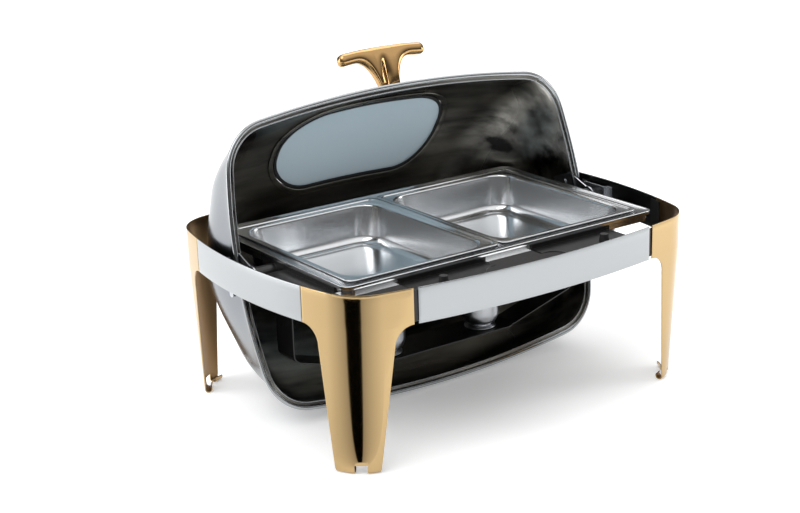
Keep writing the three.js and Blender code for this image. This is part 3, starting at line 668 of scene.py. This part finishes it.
def domeScale(height, inset=0):
    reach = lidRadius - inset
    share = min(max(0, height / (reach - lid["rimRise"])), 1)
    shrinkX = max(1 - share ** lid["endPower"], 0) ** (1 / lid["endPower"])
    across = math.sqrt(max(reach**2 - (height + lid["rimRise"]) ** 2, 0))
    return shrinkX, across / (lid["halfMouth"] - inset), share


def cornerPull(x, y, share):
    diagonal = math.sin(2 * math.atan2(y / lid["halfMouth"], x / lid["halfLong"])) ** 2
    return 1 - lid["cornerPull"] * math.sqrt(share) * diagonal


def domePlace(u, v):
    low = math.asin(lid["rimRise"] / lidRadius)
    turn = low + (math.pi / 2 - low) * v
    height = lidRadius * math.sin(turn) - lid["rimRise"]
    shrinkX, shrinkY, share = domeScale(height)
    p = outlineLoop(rimOutline, u)
    pull = cornerPull(p.x, p.y, share)
    return (p.x * shrinkX * pull, p.y * shrinkY * pull, pivotZ + lid["rimRise"] + height)


def finishLidPiece(piece, node):
    piece.data.transform(lidOpen)
    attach(piece, "lid")
    if node:
        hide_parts(*node)


window = {
    "tilt": 45,
    "halfLong": 155,
    "halfTall": 82,
    "corner": 76,
    "glass": 3.2,
    "glassInset": 5.4,
    "glassDrop": 0.4,
    "glassRows": 16,
    "columns": 160,
    "nearest": 60.0,
    "farthest": 300.0,
}
tilt = math.radians(window["tilt"])
windowOut = Vector((0, -math.sin(tilt), math.cos(tilt)))
windowUp = Vector((0, math.cos(tilt), math.sin(tilt)))


def insideDome(point):
    height = point.z - pivotZ - lid["rimRise"]
    if height < 0:
        return True
    if height >= lidRadius - lid["rimRise"]:
        return False
    shrinkX, shrinkY, share = domeScale(height)
    x = point.x / max(shrinkX, 1e-6)
    y = point.y / max(shrinkY, 1e-6)
    angle = math.atan2(y, x)
    reach = outlineReach(rimOutline, angle)
    pull = cornerPull(reach * math.cos(angle), reach * math.sin(angle), share)
    return math.hypot(x, y) < reach * pull


def onDome(x, up, lift=0):
    # the lid's skin seen through the window's outline, raised by lift along the radius
    start = Vector((x, 0, pivotZ)) + windowUp * up
    low, high = window["nearest"], window["farthest"]
    for _ in range(26):  # halves the search until it is far finer than a micron
        middle = (low + high) / 2
        if insideDome(start + windowOut * middle):
            low = middle
        else:
            high = middle
    point = start + windowOut * low
    radial = Vector((0, point.y, point.z - pivotZ)).normalized()
    return point + radial * lift


def windowEdge(share, grow=0):
    return oblongPoint(window["halfLong"] + grow, window["halfTall"] + grow, window["corner"] + grow, share)


def windowRing(name, profile):
    # profile: how far outside the window's edge, and how far above the lid's skin
    def place(u, v):
        grow, lift = profile[round(v * (len(profile) - 1)) % (len(profile) - 1)]
        p = windowEdge(u, grow)
        return onDome(p.x, p.y, lift)

    return blank(name, window["columns"], len(profile) - 1, place, joinSeam=True)


def roundedBar(inner, outer, low, high, radius, steps=4):
    # closed section of a flat ring with rounded edges
    corners = ((outer, high, 0), (inner, high, 90), (inner, low, 180), (outer, low, 270))
    points = []
    for across, up, start in corners:
        cx = across - radius if across == outer else across + radius
        cz = up - radius if up == high else up + radius
        for i in range(steps + 1):
            angle = math.radians(start + 90 * i / steps)
            points.append((cx + radius * math.cos(angle), cz + radius * math.sin(angle)))
    return points + points[:1]


lidShell = blank("lidShell", lid["columns"], lid["rows"], domePlace, joinSeam=True)
faceOut(lidShell, Vector((0, 0, pivotZ + lidRadius)) * mm, Vector((0, 0, 1)))
paint(lidShell, lidSkinSteel, lidInsideSteelWithPaintedShade)

cutReach = (150, 290)  # the cutter starts inside the lid and ends outside it


def cutWindow(u, v):
    p = windowEdge(u)
    if v in (0, 1):
        p = p * 0
    reach = cutReach[0] if v < 0.5 else cutReach[1]
    return Vector((p.x, 0, pivotZ)) + windowUp * p.y + windowOut * reach


cutter = blank("windowCutter", window["columns"], 3, cutWindow, joinSeam=True)
addModifier(
    lidShell,
    "SOLIDIFY",
    thickness=lid["sheet"] * mm,
    offset=-1,
    use_even_offset=True,
    material_offset=1,
    material_offset_rim=0,
)
addModifier(lidShell, "BOOLEAN", operation="DIFFERENCE", solver="EXACT", object=cutter)
applyAll(lidShell)
bpy.data.objects.remove(cutter)
smooth(lidShell, 30)
finishLidPiece(lidShell, ["lid_shell"])
print("lid shell made")


def makeWindowRing(name, node, slotName, material, **section):
    ring = windowRing(name, roundedBar(**section))
    paint(ring, material)
    smooth(ring, 50)
    finishLidPiece(ring, [node])


makeWindowRing(
    "windowGasket",
    "window_gasket",
    "black_rubber",
    blackRubber,
    inner=-6,
    outer=-0.3,
    low=-4.5,
    high=1.5,
    radius=1.2,
)
makeWindowRing(
    "windowOuterBezel",
    "window_bezel_outer",
    "mirror_steel",
    polishedSteel,
    inner=0.3,
    outer=9,
    low=0.2,
    high=2.6,
    radius=1.1,
)
makeWindowRing(
    "windowInnerBezel",
    "window_bezel_inner",
    "mirror_steel",
    lidInsideSteelWithPaintedShade,
    inner=0.3,
    outer=9,
    low=-4.2,
    high=-1.7,
    radius=1.1,
)


def glassPlace(u, v):
    p = windowEdge(u, -window["glassInset"])
    return onDome(p.x * v, p.y * v, -window["glassDrop"])


glass = blank("windowPane", window["columns"], window["glassRows"], glassPlace, joinSeam=True)
faceOut(glass, onDome(0, 0) * mm, windowOut)
addModifier(glass, "SOLIDIFY", thickness=window["glass"] * mm, offset=-1)
applyAll(glass)
paint(glass, windowGlass)
smooth(glass, 40)
finishLidPiece(glass, ["window_glass"])
print("window made")

# each bead is given by how far in and how far above the rim its middle is, its width and its height
rim = {
    "outerBead": (1.5, -2.95, 7.4, 5.8),
    "innerBead": (9.5, -1.2, 2.6, 2.6),
    "channel": (3.5, 9.5, -1.0, 0.8),
    "columns": 240,
    "around": 16,
}


def rimRing(name, middleIn, middleZ, wide, tall):
    def place(u, v):
        angle = 2 * math.pi * v
        p = outlineLoop(rimOutline, u, middleIn - wide / 2 * math.cos(angle))
        return (p.x, p.y, pivotZ + lid["rimRise"] + middleZ + tall / 2 * math.sin(angle))

    piece = blank(name, rim["columns"], rim["around"], place, joinSeam=True)
    paint(piece, polishedSteel)
    smooth(piece, 60)
    return piece


bead = rimRing("rimBead", *rim["outerBead"])
finishLidPiece(bead, ["lid_rim"])
innerBead = rimRing("rimInnerBead", *rim["innerBead"])
finishLidPiece(innerBead, [])


# a narrow channel between the two beads, painted with the lid's dark inside finish as painted shade in the
# groove
def channelPlace(u, v):
    start, end, up, _ = rim["channel"]
    p = outlineLoop(rimOutline, u, start + (end - start) * v)
    return (p.x, p.y, pivotZ + lid["rimRise"] + up)


channel = blank("rimChannel", rim["columns"], 2, channelPlace, joinSeam=True)
addModifier(channel, "SOLIDIFY", thickness=rim["channel"][3] * mm, offset=0)
applyAll(channel)
paint(channel, lidInsideSteelWithPaintedShade)
smooth(channel, 50)
finishLidPiece(channel, [])
print("rim made")

# handle: a bar on a flared stem with a groove down its middle
handle = {
    "tilt": 79.1,
    "half": 79,
    "rise": 55,
    "barTall": 19,
    "barThick": 20,
    "stemHalf": 17,
    "flareEnd": 58,
    "flareSteep": 3.2,
    "flareRound": 1.25,
    "droop": 4,
    "endRound": 9.5,
    "sink": 0.6,
    "squareness": 0.8,
    "grooveDepth": 0.68,
    "grooveHalf": 7.5,
    "grooveStart": 1.6,
    "columns": 96,
    "around": 40,
}
handleTilt = math.radians(handle["tilt"])
handleOut = Vector((0, -math.sin(handleTilt), math.cos(handleTilt)))
handleAlong = Vector((0, math.cos(handleTilt), math.sin(handleTilt)))


def handleUnder(x):
    # underside of the handle over the lid at a distance x from its middle
    x = abs(x)
    low = -handle["sink"]
    high = handle["rise"] - handle["barTall"] / 2
    if x <= handle["stemHalf"]:
        return low
    if x >= handle["flareEnd"]:
        return high
    share = (x - handle["stemHalf"]) / (handle["flareEnd"] - handle["stemHalf"])
    return low + (high - low) * (1 - (1 - share) ** handle["flareSteep"]) ** (1 / handle["flareRound"])


def roundedWave(value):
    # a circle's sine or cosine, pushed out a little towards a square
    return math.copysign(abs(value) ** handle["squareness"], value)


def handlePlace(u, v):
    # more sections near the stem's edges, where the underside is steep
    t = 2 * u - 1
    x = handle["half"] * (0.45 * t + 0.55 * t**3) if abs(t) < 1 else handle["half"] * t
    droop = -handle["droop"] * (x / handle["half"]) ** 2
    top = handle["rise"] + handle["barTall"] / 2 + droop
    under = handleUnder(x) + droop * min(1, abs(x) / handle["flareEnd"])
    ending = max(0, (abs(x) - handle["half"] + handle["endRound"]) / handle["endRound"])
    squeeze = math.sqrt(max(1 - ending**2, 0))
    middle = (top + under) / 2
    angle = 2 * math.pi * v
    up = roundedWave(math.sin(angle)) * (top - under) / 2 * squeeze
    fall = (handle["rise"] - middle - up) / handle["rise"]
    grooveShare = max(0, min(1, fall * handle["grooveStart"])) * math.exp(-((x / handle["grooveHalf"]) ** 2))
    groove = 1 - handle["grooveDepth"] * grooveShare
    side = roundedWave(math.cos(angle)) * handle["barThick"] / 2 * squeeze * groove
    return Vector((x, 0, pivotZ)) + handleOut * (lidRadius + middle + up) + handleAlong * side


handlePiece = blank("handleCasting", handle["columns"], handle["around"], handlePlace, joinSeam=True)
paint(handlePiece, goldCasting)
smooth(handlePiece, 70)
finishLidPiece(handlePiece, ["handle"])
print("handle made")


# fuel holders: open cups on a ring foot
fuelCup = {
    "outside": [(0, 64), (22, 64), (22, 66.6), (25, 66.6), (25, 69), (17, 71.5), (26, 77), (30, 88), (30, 120)],
    "inside": [(28.5, 120), (28.5, 88), (25, 79), (16, 74.5), (0, 74)],
    "edgeRound": 3,
    "columns": 64,
}
outsideCurve = fillet([(r, z, 0) for r, z in fuelCup["outside"]], fuelCup["edgeRound"], 3)
insidePoints = fuelCup["outside"][-1:] + fuelCup["inside"]
insideCurve = fillet([(r, z, 0) for r, z in insidePoints], fuelCup["edgeRound"], 3)
cupPoints = outsideCurve[:-1] + insideCurve
for side in ("left", "right"):
    node = "fuel_holder_" + side
    low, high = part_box(node)
    middle = (low + high) / 2 / mm

    def cupPlace(u, v):
        r, z, _ = alongProfile(cupPoints, v)
        angle = 2 * math.pi * u
        return (middle.x + r * math.cos(angle), middle.y + r * math.sin(angle), z)

    cup = blank("fuelCup_" + side, fuelCup["columns"], len(cupPoints) - 1, cupPlace, joinSeam=True)
    paint(cup, satinSteel)
    smooth(cup, 40)
    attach(cup, node + "_body")
    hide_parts(node)
print("fuel cups made")

# CAD pieces that stay get softened edges and their real finish
keptFinish = {
    "pan_support": bandSteel,
    "joint_strip": blackLacquer,
    "front_bridge": blackLacquer,
    "lid_bumper": blackRubber,
    "outer_bracket": satinSteel,
    "inner_bracket": blackLacquer,
    "side_ledge": blackLacquer,
    "pivot_pin": satinSteel,
    "pivot_washer": blackRubber,
    "lid_arm": satinSteel,
    "lid_rivet": satinSteel,
    "handle_screw": satinSteel,
    "burner_shelf": blackLacquer,
    "shelf_strap": blackLacquer,
}
keptEdge = {"join": 0.01, "bevel": 0.4, "sharperThan": 40}
sharp = math.radians(keptEdge["sharperThan"])
for name, node in frame["nodes"].items():
    for start, material in keptFinish.items():
        if name.startswith(start):
            paint(node, material)
            addModifier(node, "WELD", merge_threshold=keptEdge["join"] * mm)
            addModifier(
                node, "BEVEL", width=keptEdge["bevel"] * mm, segments=2, limit_method="ANGLE", angle_limit=sharp
            )
print("kept pieces finished")

# floor, lights and camera
deselectAll()
bpy.ops.mesh.primitive_plane_add(size=200, location=(0, 0, 0))
floor = bpy.context.object
floor.name = "floor"
floorPaint, tree, shader = newMaterial(
    "matteWhiteBacking", **{"Roughness": 0.9, "Emission Strength": 0.25}  # the glow keeps shadows pale
)
shader.inputs["Base Color"].default_value = linear("#f4f4f4")
shader.inputs["Emission Color"].default_value = linear("#ffffff")
paint(floor, floorPaint)


def softBox(name, location, target, size, power):
    light = bpy.data.lights.new(name, "AREA")
    light.shape = "RECTANGLE"
    light.size, light.size_y = size
    light.energy = power
    lamp = bpy.data.objects.new(name, light)
    bpy.context.scene.collection.objects.link(lamp)
    lamp.location = location
    lamp.rotation_euler = (Vector(target) - Vector(location)).to_track_quat("-Z", "Y").to_euler()


def skyLight(name, towards, strength, spread):
    # a far, broad lamp: even light over the whole floor, with soft shadows
    light = bpy.data.lights.new(name, "SUN")
    light.energy = strength
    light.angle = math.radians(spread)
    lamp = bpy.data.objects.new(name, light)
    bpy.context.scene.collection.objects.link(lamp)
    lamp.rotation_euler = Vector(towards).to_track_quat("Z", "Y").to_euler()


skyLight("leftSky", (-0.6, -0.1, 1.0), strength=1.15, spread=50)
skyLight("rightSky", (0.5, 0.4, 1.0), strength=0.8, spread=50)
softBox("leftBox", (-2.4, 1.6, 0.9), (0, 0, 0.25), size=(1.6, 1.6), power=25)
softBox("rightBox", (1.9, -0.9, 0.75), (-0.2, 0.1, 0.3), size=(0.7, 0.7), power=6)
# bright overhead, dark round the horizon, as in a studio with one great ceiling light
sky = {"strength": 1.0, "darkUpTo": 0.3, "brightFrom": 0.62, "horizon": 0.12, "overhead": 1}
world = bpy.data.worlds.new("studio")
bpy.context.scene.world = world
world.use_nodes = True
tree = world.node_tree
background = tree.nodes["Background"]
background.inputs["Strength"].default_value = sky["strength"]
skyPlace = addNode(tree, "ShaderNodeTexCoord").outputs["Generated"]
skyParts = addNode(tree, "ShaderNodeSeparateXYZ", links={"Vector": skyPlace})
skyTone = addNode(tree, "ShaderNodeValToRGB", links={"Fac": skyParts.outputs["Z"]})
skyStops = ((sky["darkUpTo"], sky["horizon"]), (sky["brightFrom"], sky["overhead"]))
for element, (height, grey) in zip(skyTone.color_ramp.elements, skyStops):
    element.position = height
    element.color = (grey, grey, grey, 1)
tree.links.new(skyTone.outputs["Color"], background.inputs["Color"])

# a black flag lying on the floor in front of the near corner: it shows only in reflections,
# where it gives the polished corner its dark stripe
flag = {
    "corner": (-296, -221),
    "turns": (130, 290),
    "dark": (197, 234),
    "near": 12,
    "far": 4000,
    "columns": 80,
    "rows": 24,
    "taper": 5,
    "taperReach": 200,
    "softEdge": 4,
    "shade": 0.62,
    "shadeReach": 70,
}


def flagPlace(u, v):
    angle = math.radians(flag["turns"][0] + (flag["turns"][1] - flag["turns"][0]) * u)
    reach = flag["near"] * (flag["far"] / flag["near"]) ** v
    return (flag["corner"][0] + reach * math.cos(angle), flag["corner"][1] + reach * math.sin(angle), 1)


blackFlag = blank("blackFlag", flag["columns"], flag["rows"], flagPlace)
flagCloth, tree, shader = newMaterial("blackFlagCloth", **{"Roughness": 0.9, "Specular IOR Level": 0.0})
shader.inputs["Base Color"].default_value = linear("#050505")
depth = blackFlag.data.attributes.new("depth", "FLOAT", "POINT")
for index, corner in enumerate(blackFlag.data.vertices):
    away = Vector((corner.co.x / mm - flag["corner"][0], corner.co.y / mm - flag["corner"][1]))
    angle = math.degrees(math.atan2(away.y, away.x)) % 360
    low = flag["dark"][0] + flag["taper"] * math.exp(-away.length / flag["taperReach"])
    miss = max(low - angle, angle - flag["dark"][1], 0)
    halfShade = flag["shade"] * (1 - miss / flag["shadeReach"])
    depth.data[index].value = max(1 - miss / flag["softEdge"], halfShade, 0)
shade = addNode(tree, "ShaderNodeAttribute", {"attribute_name": "depth"})
tree.links.new(shade.outputs["Fac"], shader.inputs["Alpha"])
paint(blackFlag, flagCloth)
blackFlag.visible_camera = False
blackFlag.visible_diffuse = False
blackFlag.visible_shadow = False
blackFlag.visible_transmission = False

shot = {
    "lens": 75.15,
    "sensor": 36,
    "place": (-1.4267, -1.9451, 0.9758),
    "right": (0.8128, -0.5818, -0.0301),
    "up": (0.2013, 0.2320, 0.9517),
}
camera = bpy.data.cameras.new("camera")
camera.lens = shot["lens"]
camera.sensor_width = shot["sensor"]
cameraObject = bpy.data.objects.new("camera", camera)
bpy.context.scene.collection.objects.link(cameraObject)
right = Vector(shot["right"])
up = Vector(shot["up"])
turned = Matrix((right, up, right.cross(up))).transposed().to_4x4()
cameraObject.matrix_world = Matrix.Translation(shot["place"]) @ turned
bpy.context.scene.camera = cameraObject
bpy.context.scene.view_settings.view_transform = "Standard"
print("studio ready")
